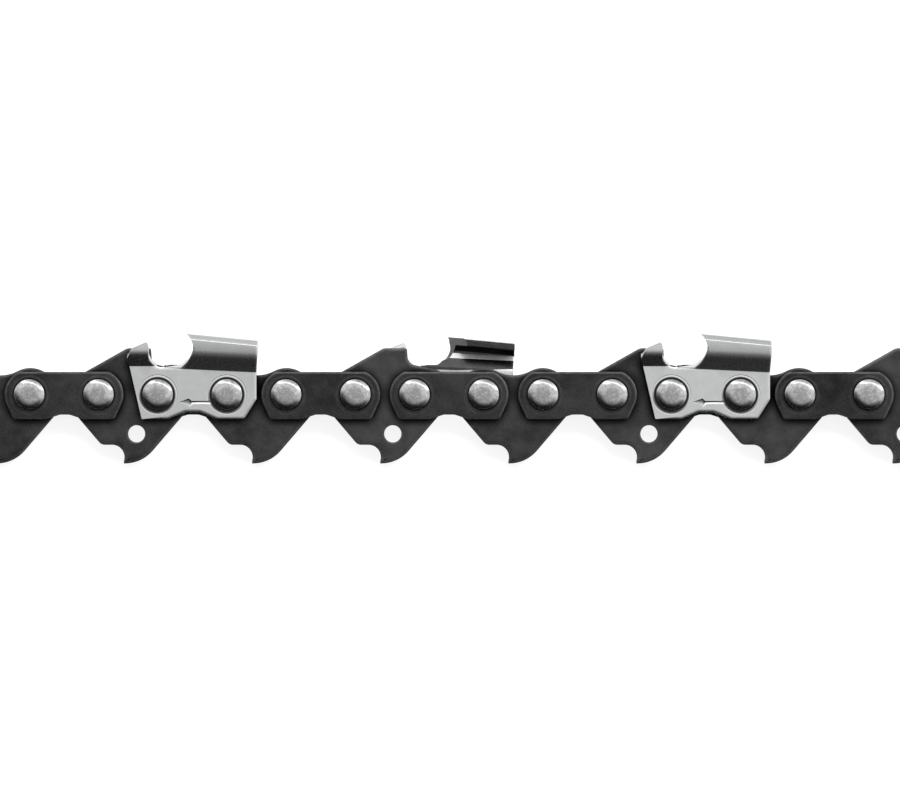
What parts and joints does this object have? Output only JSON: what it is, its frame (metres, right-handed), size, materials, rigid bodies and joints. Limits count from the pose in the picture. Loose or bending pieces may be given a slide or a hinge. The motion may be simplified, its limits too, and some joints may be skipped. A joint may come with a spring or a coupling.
{
  "type": "chainsaw chain",
  "caption": "Stretch of saw chain lying on its side: hooked drive links between paired straps, cutters with depth gauges on both sides, all joined by rivets that let it bend.",
  "frame": {"origin": "centre of the free rivet hole in the leading drive link, in the middle of its thickness", "axes": "+X along the chain towards its trailing end, +Y away from the guide bar, +Z along the rivets, up as the chain lies"},
  "size_m": [0.1468, 0.0186, 0.0056],
  "materials": {
    "link_steel": "dark blued steel, tumbled",
    "strap_steel": "dark blued steel, tumbled, satin",
    "cutter_chrome": "satin industrial chrome",
    "rivet_steel": "bright spun heads"
  },
  "bodies": {
    "link_1": {"plain_drive_link_1": "link_steel"},
    "link_2": {"guard_drive_link_2": "link_steel"},
    "link_3": {"plain_drive_link_3": "link_steel"},
    "link_4": {"guard_drive_link_4": "link_steel"},
    "link_5": {"plain_drive_link_5": "link_steel"},
    "link_6": {"guard_drive_link_6": "link_steel"},
    "link_7": {"plain_drive_link_7": "link_steel"},
    "link_8": {"guard_drive_link_8": "link_steel"},
    "pair_1": {"upper_tie_strap_1": "strap_steel", "lower_tie_strap_1": "strap_steel", "front_rivet_1": "rivet_steel", "rear_rivet_1": "rivet_steel"},
    "pair_2": {"left_cutter_2": "cutter_chrome", "lower_tie_strap_2": "strap_steel", "front_rivet_2": "rivet_steel", "rear_rivet_2": "rivet_steel"},
    "pair_3": {"upper_tie_strap_3": "strap_steel", "lower_tie_strap_3": "strap_steel", "front_rivet_3": "rivet_steel", "rear_rivet_3": "rivet_steel"},
    "pair_4": {"upper_tie_strap_4": "strap_steel", "right_cutter_4": "cutter_chrome", "front_rivet_4": "rivet_steel", "rear_rivet_4": "rivet_steel"},
    "pair_5": {"upper_tie_strap_5": "strap_steel", "lower_tie_strap_5": "strap_steel", "front_rivet_5": "rivet_steel", "rear_rivet_5": "rivet_steel"},
    "pair_6": {"left_cutter_6": "cutter_chrome", "lower_tie_strap_6": "strap_steel", "front_rivet_6": "rivet_steel", "rear_rivet_6": "rivet_steel"},
    "pair_7": {"upper_tie_strap_7": "strap_steel", "lower_tie_strap_7": "strap_steel", "front_rivet_7": "rivet_steel", "rear_rivet_7": "rivet_steel"}
  },
  "joints": [
    {"name": "pair_4_to_link_4", "type": "hinge", "parent": "pair_4", "child": "link_4", "pos_m": [0.06451, 0, 0], "axis": [0, 0, 1], "range_deg": [-10, 30]},
    {"name": "link_4_to_pair_3", "type": "hinge", "parent": "link_4", "child": "pair_3", "pos_m": [0.05592, 0, 0], "axis": [0, 0, 1], "range_deg": [-10, 30]},
    {"name": "pair_3_to_link_3", "type": "hinge", "parent": "pair_3", "child": "link_3", "pos_m": [0.04587, 0, 0], "axis": [0, 0, 1], "range_deg": [-10, 30]},
    {"name": "link_3_to_pair_2", "type": "hinge", "parent": "link_3", "child": "pair_2", "pos_m": [0.03728, 0, 0], "axis": [0, 0, 1], "range_deg": [-10, 30]},
    {"name": "pair_2_to_link_2", "type": "hinge", "parent": "pair_2", "child": "link_2", "pos_m": [0.02723, 0, 0], "axis": [0, 0, 1], "range_deg": [-10, 30]},
    {"name": "link_2_to_pair_1", "type": "hinge", "parent": "link_2", "child": "pair_1", "pos_m": [0.01864, 0, 0], "axis": [0, 0, 1], "range_deg": [-10, 30]},
    {"name": "pair_1_to_link_1", "type": "hinge", "parent": "pair_1", "child": "link_1", "pos_m": [0.00859, 0, 0], "axis": [0, 0, 1], "range_deg": [-10, 30]},
    {"name": "pair_4_to_link_5", "type": "hinge", "parent": "pair_4", "child": "link_5", "pos_m": [0.07456, 0, 0], "axis": [0, 0, 1], "range_deg": [-30, 10]},
    {"name": "link_5_to_pair_5", "type": "hinge", "parent": "link_5", "child": "pair_5", "pos_m": [0.08315, 0, 0], "axis": [0, 0, 1], "range_deg": [-30, 10]},
    {"name": "pair_5_to_link_6", "type": "hinge", "parent": "pair_5", "child": "link_6", "pos_m": [0.0932, 0, 0], "axis": [0, 0, 1], "range_deg": [-30, 10]},
    {"name": "link_6_to_pair_6", "type": "hinge", "parent": "link_6", "child": "pair_6", "pos_m": [0.10179, 0, 0], "axis": [0, 0, 1], "range_deg": [-30, 10]},
    {"name": "pair_6_to_link_7", "type": "hinge", "parent": "pair_6", "child": "link_7", "pos_m": [0.11184, 0, 0], "axis": [0, 0, 1], "range_deg": [-30, 10]},
    {"name": "link_7_to_pair_7", "type": "hinge", "parent": "link_7", "child": "pair_7", "pos_m": [0.12043, 0, 0], "axis": [0, 0, 1], "range_deg": [-30, 10]},
    {"name": "pair_7_to_link_8", "type": "hinge", "parent": "pair_7", "child": "link_8", "pos_m": [0.13048, 0, 0], "axis": [0, 0, 1], "range_deg": [-30, 10]}
  ]
}
